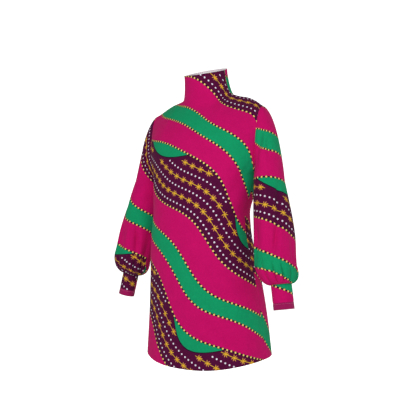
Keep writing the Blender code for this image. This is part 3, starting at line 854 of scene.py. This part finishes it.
# %% Numbers in a node tree
class Number:
    """A value in a node tree that is added, multiplied and compared like a plain number."""

    def __init__(self, tree, socket):
        self.tree = tree
        self.socket = socket

    def math(self, operation, *others):
        node = self.tree.nodes.new("ShaderNodeMath")
        node.operation = operation
        for slot, thing in enumerate((self,) + others):
            if isinstance(thing, Number):
                self.tree.links.new(thing.socket, node.inputs[slot])
            else:
                node.inputs[slot].default_value = thing
        return Number(self.tree, node.outputs[0])

    def __add__(self, other):
        return self.math("ADD", other)

    def __sub__(self, other):
        return self.math("SUBTRACT", other)

    def __mul__(self, other):
        return self.math("MULTIPLY", other)

    def __neg__(self):
        return self.math("MULTIPLY", -1.0)

    def sin(self):
        return self.math("SINE")

    def floor(self):
        return self.math("FLOOR")

    def size(self):
        return self.math("ABSOLUTE")

    def root(self):
        return self.math("SQRT")

    def most(self, other):
        return self.math("MAXIMUM", other)

    def wrapped(self, span):
        return self.math("WRAP", span / 2, -span / 2)

    def above(self, soft=0.35):
        """1 where the number is above nought, 0 below, with a soft step."""
        scaled = self.math("MULTIPLY_ADD", 1 / soft, 0.5)
        return Number(self.tree, add_node(self.tree, "Clamp", {"Value": scaled.socket}).outputs[0])

    def below(self, limit, soft=0.35):
        return (-(self - limit)).above(soft)


def group_tree(name, inputs, outputs):
    """A shader node group with named sockets. Returns it and the nodes of its inputs and outputs."""
    tree = bpy.data.node_groups.new(name, "ShaderNodeTree")
    for label, kind, default in inputs:
        socket = tree.interface.new_socket(label, in_out="INPUT", socket_type=kind)
        if default is not None:
            socket.default_value = default
    for label, kind in outputs:
        tree.interface.new_socket(label, in_out="OUTPUT", socket_type=kind)
    return tree, tree.nodes.new("NodeGroupInput"), tree.nodes.new("NodeGroupOutput")


def flat_numbers(tree, entry):
    """The two coordinates of the group's place on the flat cloth."""
    split = add_node(tree, "SeparateXYZ", {0: entry.outputs["Cloth"]})
    return Number(tree, split.outputs["X"]), Number(tree, split.outputs["Y"])


def mixed(tree, mask, under, over):
    """Colour socket of one colour laid over another by a mask."""
    node = tree.nodes.new("ShaderNodeMix")
    node.data_type = "RGBA"
    return feed(tree, node, {"Factor": mask.socket, "A": under, "B": over}).outputs["Result"]


def paint(red, green, blue):
    """Screen colour, 0 to 255, as the linear colour that shaders use."""
    def linear(value):
        value = value / 255
        return value / 12.92 if value <= 0.04045 else ((value + 0.055) / 1.055) ** 2.4
    return (linear(red), linear(green), linear(blue), 1.0)


# %% Colours of the print
DYES = {
    "Magenta": paint(200, 16, 102),
    "Green": paint(20, 154, 102),
    "Aubergine": paint(84, 16, 58),
    "Dot": paint(248, 210, 118),
    "Gold": paint(234, 182, 48),
    "Salmon": paint(226, 138, 96),
    "White": paint(238, 230, 244),
    "Navy": paint(26, 20, 44),
}

# %% The printed pattern, in millimetres of flat cloth
REPEAT = 372
# place in the repeat, swing, length of the swing, phase
GREEN_TOP = (92, 5, 410, 0.4)
GREEN_FOOT = (148, 6, 410, 1.5)
FIELD_TOP = (226, 17, 520, 2.1)
FIELD_FOOT = (0, 14, 455, 0.0)
# swing, length of the swing and phase of the two waves that all the bands follow
FLOW = ((24, 640, 0.0), (7, 270, 1.1))
DOT_PITCH = 13.0
DOT_RADIUS = 2.9
DOT_RIM = 1.2
EDGE_LINE = 2.2
# swing, length of the swing, phase, how much of it is left out
CRESCENT = (50, 430, 0.7, 8)
OUTLINE_HALF = 1.6
OUTLINE_FROM = 2
ROW_PITCH = 25
FIRST_ROW = 6
ROW_CLEAR_ABOVE = 12
ROW_CLEAR_BELOW = 8
WHITE_PITCH = 14
WHITE_RADIUS = 2.7
SPRIG_PITCH = 29
# place along the stem, distance out, half length, half width, lean in degrees
LEAVES = ((4.6, 3.0, 5.4, 1.2, 33), (0.6, 5.0, 5.2, 1.3, 72), (-4.2, 4.2, 4.4, 1.1, 118))
LEAF_SOFTNESS = 0.2
# place along the stem, radius
BERRY = (0.0, 2.6)
STEM = 0.95
# distance from the stem where gold turns to salmon, and how slowly
TIP = (5.6, 3.5)


def build_print():
    inputs = [("Cloth", "NodeSocketVector", None), ("Turn", "NodeSocketFloat", 0.6),
              ("Across", "NodeSocketFloat", 0.0), ("Down", "NodeSocketFloat", 0.0)]
    inputs += [(name, "NodeSocketColor", dye) for name, dye in DYES.items()]
    tree, entry, leave = group_tree("wavy_band_print", inputs, [("Color", "NodeSocketColor")])

    x, y = flat_numbers(tree, entry)
    x = x * (1 / MM) + Number(tree, entry.outputs["Across"])
    y = y * (-1 / MM) + Number(tree, entry.outputs["Down"])
    turn = Number(tree, entry.outputs["Turn"])
    cos, sin = turn.math("COSINE"), turn.sin()
    along = x * cos + y * sin
    down = y * cos - x * sin

    def swing(place, size, length, phase):
        return (place * (2 * math.pi / length) + phase).sin() * size

    def flow(place):
        total = down
        for size, length, phase in FLOW:
            total = total + swing(place, size, length, phase)
        return total

    def beyond(edge, place):
        """How far the cloth at a place along the flow lies below a band's edge."""
        start, size, length, phase = edge
        return (flow(place) - start).wrapped(REPEAT) - swing(place, size, length, phase)

    def stepped(pitch):
        return ((along * (1 / pitch)).floor() + 0.5) * pitch

    def spot(off_along, off_down, radius):
        return (off_along * off_along + off_down * off_down).root().below(radius)

    green = beyond(GREEN_TOP, along).above() * (-beyond(GREEN_FOOT, along)).above()
    field = beyond(FIELD_TOP, along).above() * (-beyond(FIELD_FOOT, along)).above()

    def crescent_depth(place):
        size, length, phase, less = CRESCENT
        return swing(place, size, length, phase) - less

    top = beyond(FIELD_TOP, along)
    depth = crescent_depth(along)
    crescent = field * (depth - top).above()
    outline = field * (depth - top + OUTLINE_HALF).size().below(OUTLINE_HALF)
    outline = outline * (depth + OUTLINE_FROM).above()

    def dyed(under, mask, dye):
        return mixed(tree, mask, under, entry.outputs[dye])

    color = dyed(entry.outputs["Magenta"], green, "Green")
    color = dyed(color, field, "Aubergine")
    color = dyed(color, crescent, "Green")

    def row_of(place):
        """Distance of a place from its row's line, and masks for a row with room and an odd row."""
        up = -beyond(FIELD_FOOT, place)
        number = ((up - FIRST_ROW) * (1 / ROW_PITCH)).floor()
        line = (number + 0.5) * ROW_PITCH + FIRST_ROW
        off = up - line
        top_of_row = beyond(FIELD_TOP, place) + off
        free = top_of_row - crescent_depth(place).most(0.0)
        kept = (free - ROW_CLEAR_ABOVE).above() * (line - ROW_CLEAR_BELOW).above()
        odd = (number - (number * 0.5).floor() * 2 - 0.5).above()
        return off, kept, odd

    place = stepped(WHITE_PITCH)
    off, kept, odd = row_of(place)
    white = field * kept * (-odd + 1) * spot(along - place, off, WHITE_RADIUS)
    color = dyed(color, white, "White")

    place = stepped(SPRIG_PITCH)
    off, kept, odd = row_of(place)
    out = off.size()
    ahead = along - place
    leafy = spot(ahead - BERRY[0], off, BERRY[1])
    for middle, away, half_length, half_width, lean in LEAVES:
        lean_cos, lean_sin = math.cos(math.radians(lean)), math.sin(math.radians(lean))
        along_leaf = ((ahead - middle) * lean_cos + (out - away) * lean_sin) * (1 / half_length)
        across_leaf = ((out - away) * lean_cos - (ahead - middle) * lean_sin) * (1 / half_width)
        round_leaf = (along_leaf * along_leaf + across_leaf * across_leaf).root()
        leafy = leafy.most(round_leaf.below(1, LEAF_SOFTNESS))
    leafy = leafy.most(row_of(along)[0].size().below(STEM))
    sprig = dyed(entry.outputs["Gold"], (out - TIP[0]).above(TIP[1]), "Salmon")
    color = mixed(tree, field * kept * odd * leafy, color, sprig)
    color = dyed(color, outline, "Navy")

    for edge in (GREEN_TOP, GREEN_FOOT, FIELD_TOP, FIELD_FOOT):
        line = beyond(edge, along).size().below(EDGE_LINE)
        place = stepped(DOT_PITCH)
        rims, dots = (spot(along - place, beyond(edge, place), radius)
                      for radius in (DOT_RADIUS + DOT_RIM, DOT_RADIUS))
        color = dyed(dyed(color, line.most(rims), "Navy"), dots, "Dot")
    feed(tree, leave, {"Color": color})
    print("print nodes:", len(tree.nodes))
    return tree


print_group = build_print()

# %% [markdown]
# ## Knit surface
#
# Close up, a fine knit has columns of tiny loops. They are far too small to model, so a bump does it:
# two crossed waves on the flat cloth, one for the columns and one for the rows. The colour gets a slow
# unevenness and a fine grain, so that large areas of one dye don't look like paint, and a faint painted
# shade from the columns: a little lighter on each column, darker between them.

# %% Knit as a node group
WALES_PER_METRE = 1100
COURSES_PER_METRE = 900
COURSE_LEAN = 1.2
# how much of the bump is wales and how much courses
WALE_RISE = 0.5
COURSE_RISE = 0.3
# how far the wales' painted shade (lighter on each wale, darker between), the slow unevenness and the grain
# change the colour
WALE_PAINTED_SHADE = 0.02
MOTTLE_SHADE = 0.2
GRAIN_SHADE = 0.22


def build_knit():
    tree, entry, leave = group_tree(
        "fine_knit",
        [("Cloth", "NodeSocketVector", None), ("Color", "NodeSocketColor", None)],
        [("Color", "NodeSocketColor"), ("Height", "NodeSocketFloat")])
    x, y = flat_numbers(tree, entry)
    wale = (x * (2 * math.pi * WALES_PER_METRE)).sin()
    leaning = y * (2 * math.pi * COURSES_PER_METRE) + wale * COURSE_LEAN
    height = wale * WALE_RISE + leaning.sin() * COURSE_RISE

    cloth = entry.outputs["Cloth"]
    mottle = add_node(tree, "TexNoise", {"Scale": 26, "Detail": 3, "Roughness": 0.6, "Vector": cloth})
    grain = add_node(tree, "TexNoise", {"Scale": 170, "Detail": 2, "Vector": cloth})
    uneven = (Number(tree, mottle.outputs["Fac"]) - 0.5) * MOTTLE_SHADE + 1.0
    uneven = uneven + (Number(tree, grain.outputs["Fac"]) - 0.5) * GRAIN_SHADE
    # the wales add painted shade to the colour: a little lighter on each wale, darker in the troughs
    # between them
    shaded = uneven + wale * WALE_PAINTED_SHADE
    scaled = tree.nodes.new("ShaderNodeVectorMath")
    scaled.operation = "SCALE"
    feed(tree, scaled, {0: entry.outputs["Color"], "Scale": shaded.socket})
    feed(tree, leave, {"Color": scaled.outputs[0], "Height": height.socket})
    return tree


knit_group = build_knit()


# %% Cloth materials
def knit_material(name, roughness, sheen):
    """Knitted cloth. Returns the material, its knit node and the socket of the place on the cloth."""
    material, tree, shader = add_material(name, {
        "Roughness": roughness, "Specular IOR Level": 0.02, "Sheen Weight": sheen, "Sheen Roughness": 0.5})
    place = tree.nodes.new("ShaderNodeUVMap")
    place.uv_map = "cloth"
    knit = tree.nodes.new("ShaderNodeGroup")
    knit.node_tree = knit_group
    feed(tree, knit, {"Cloth": place.outputs["UV"]})
    feed(tree, shader, {"Base Color": knit.outputs["Color"]})
    bump_material(tree, shader, knit.outputs["Height"], strength=0.25, distance=0.0002)
    return material, knit, place.outputs["UV"]


def printed_material(name, turn, across_mm, down_mm):
    """Printed knit. The print is turned and shifted, as each piece was cut from its own place."""
    material, knit, place = knit_material(name, roughness=0.78, sheen=0.03)
    tree = material.node_tree
    printed = tree.nodes.new("ShaderNodeGroup")
    printed.node_tree = print_group
    feed(tree, printed, {"Turn": math.radians(turn), "Across": across_mm, "Down": down_mm, "Cloth": place})
    feed(tree, knit, {"Color": printed.outputs["Color"]})
    return material


# name, turn of the bands in degrees, shift across, shift down
PRINTS = {
    "front": (34, 0, 60),
    "back": (34, 90, 210),
    "sleeve_left": (28, 120, -120),
    "sleeve_right": (28, 260, 250),
    "cuff_left": (28, 60, 150),
    "cuff_right": (28, 200, 40),
}
looks = {name: printed_material("print_" + name, *row) for name, row in PRINTS.items()}

band_material, band_knit, _ = knit_material("cuff_binding", roughness=0.78, sheen=0.12)
band_knit.inputs["Color"].default_value = paint(160, 26, 90)
looks["cuff_band_left"] = looks["cuff_band_right"] = band_material
reverse_material, reverse_knit, _ = knit_material("reverse_of_cloth", roughness=0.85, sheen=0.1)
reverse_knit.inputs["Color"].default_value = paint(240, 235, 238)
print("materials:", len(bpy.data.materials))

# %% [markdown]
# ## Make the pieces
#
# Each piece becomes a mesh whose faces point outwards. Solidify then gives it the knit's thickness,
# measured inwards, and a second material on its inner side, where the reverse of the cloth is pale.

# %% From points to finished cloth
CLOTH_THICKNESS = 0.8
SHARP_BEND = math.radians(60)


def make_cloth(name, piece):
    points, quads, corners = piece
    cloth = add_mesh(name + "_cloth", (points * MM).tolist(), quads.tolist(), looks[name], reverse_material)
    layer = cloth.data.uv_layers.new(name="cloth")
    layer.data.foreach_set("uv", corners.reshape(-1).astype(np.float32))
    bpy.context.view_layer.objects.active = cloth
    cloth.select_set(True)
    thick = cloth.modifiers.new("thickness", "SOLIDIFY")
    thick.thickness = CLOTH_THICKNESS * MM
    thick.offset = -1
    thick.material_offset = 1
    thick.material_offset_rim = 0
    bpy.ops.object.modifier_apply(modifier=thick.name)
    bpy.ops.object.shade_smooth_by_angle(angle=SHARP_BEND)
    cloth.select_set(False)
    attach(cloth, "root")
    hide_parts(name)
    return cloth


cloths = {name: make_cloth(name, piece) for name, piece in pieces.items()}
for name, cloth in cloths.items():
    "band" if "band" in name else "print"

# %% [markdown]
# ## Stitches
#
# Two rows of stitches show on the real dress: one that holds the turned edge inside the neck, and one
# along the top of each cuff's binding. Each stitch is a small thread lozenge that lies on the cloth.
# They are made as one mesh for each row.

# %% Rows of stitches
# how far apart stitches start, how long, how wide and how high they are
NECK_STITCH = (7.0, 4.6, 1.3, 0.5)
BAND_STITCH = (3.4, 2.3, 0.7, 0.35)
# place along the stitch, across it, above the cloth, as shares of its size
LOZENGE = ((-0.5, 0, 0), (-0.3, -0.5, 0.4), (-0.3, 0, 1), (-0.3, 0.5, 0.4), (-0.3, 0, -0.4),
           (0.3, -0.5, 0.4), (0.3, 0, 1), (0.3, 0.5, 0.4), (0.3, 0, -0.4), (0.5, 0, 0))
LOZENGE_FACES = ((0, 2, 1), (0, 3, 2), (0, 4, 3), (0, 1, 4), (1, 2, 6, 5), (2, 3, 7, 6), (3, 4, 8, 7),
                 (4, 1, 5, 8), (9, 5, 6), (9, 6, 7), (9, 7, 8), (9, 8, 5))


def stitch_row(name, path, outwards, stitch, material):
    """Even stitches along a path of points in millimetres; outwards are the cloth's normals there."""
    pitch, length, width, rise = stitch
    reach = walked(path, 0)
    count = int(reach[-1] / pitch)
    places = (np.arange(count) + 0.5) * reach[-1] / count
    middle = read_path(path, reach, places)
    up = unit(read_path(outwards, reach, places))
    along = unit(read_path(path, reach, places + 0.5) - read_path(path, reach, places - 0.5))
    side = np.cross(up, along)
    points, faces = [], []
    for k in range(count):
        for share_along, share_across, share_up in LOZENGE:
            points.append(middle[k] + along[k] * share_along * length
                          + side[k] * share_across * width + up[k] * share_up * rise)
        faces += [tuple(corner + k * len(LOZENGE) for corner in face) for face in LOZENGE_FACES]
    row = add_mesh(name, (np.array(points) * MM).tolist(), faces, material)
    row.data.shade_smooth()
    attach(row, "root")


def thread_material(name, color):
    """Twisted polyester thread: a slight gloss, and the twist as a fine bump."""
    material, tree, shader = add_material(name, {"Base Color": color, "Roughness": 0.5})
    place = tree.nodes.new("ShaderNodeTexCoord")
    twist = add_node(tree, "TexWave", {"Scale": 900, "Vector": place.outputs["Object"]})
    twist.bands_direction = "DIAGONAL"
    bump_material(tree, shader, twist.outputs["Fac"], strength=0.3, distance=0.0001)
    return material


pink_thread = thread_material("pink_thread", paint(216, 120, 164))
NECK_ROW_BELOW_EDGE = 1.5
BAND_ROW = 3
body_points = len(across) * (len(skirt_shares) + len(upper_shares))
neck_row = int(np.argmin(np.abs((1 - neck_shares) * NECK_LENGTH - NECK_ROW_BELOW_EDGE)))
for name in ("front", "back"):
    points, quads, _ = pieces[name]
    numbers = body_points + neck_row * len(neck_columns) + np.arange(len(neck_columns))
    inwards = -point_normals(points, quads)[numbers]
    path = points[numbers] + inwards * CLOTH_THICKNESS
    stitch_row("neck_stitches_" + name, path, inwards, NECK_STITCH, pink_thread)
for name in ("cuff_band_left", "cuff_band_right"):
    points, quads, _ = pieces[name]
    numbers = BAND_ROW * AROUND + np.append(np.arange(AROUND), 0)
    outwards = point_normals(points, quads)[numbers]
    stitch_row(name + "_stitches", points[numbers], outwards, BAND_STITCH, pink_thread)
print("stitch rows: 4")

# %% [markdown]
# ## Cut sizes
#
# Every piece is a sheet of cloth that was flat when it was cut. The sizes below are what a cutter would
# lay out: for a gathered sleeve, its full width before it is drawn in.

# %% Say what each sheet was cut to
def flat_facts(piece):
    """Width, length and area of a piece on the flat cloth, in metres."""
    corners = piece[2]
    a, b, c, d = (corners[:, k] for k in range(4))
    area = np.abs((c - a)[:, 0] * (d - b)[:, 1] - (c - a)[:, 1] * (d - b)[:, 0]).sum() / 2
    low, high = corners.reshape(-1, 2).min(0), corners.reshape(-1, 2).max(0)
    return (high - low).round(3).tolist(), round(float(area), 4)


for name, piece in pieces.items():
    print(name, "flat size and area:", *flat_facts(piece))
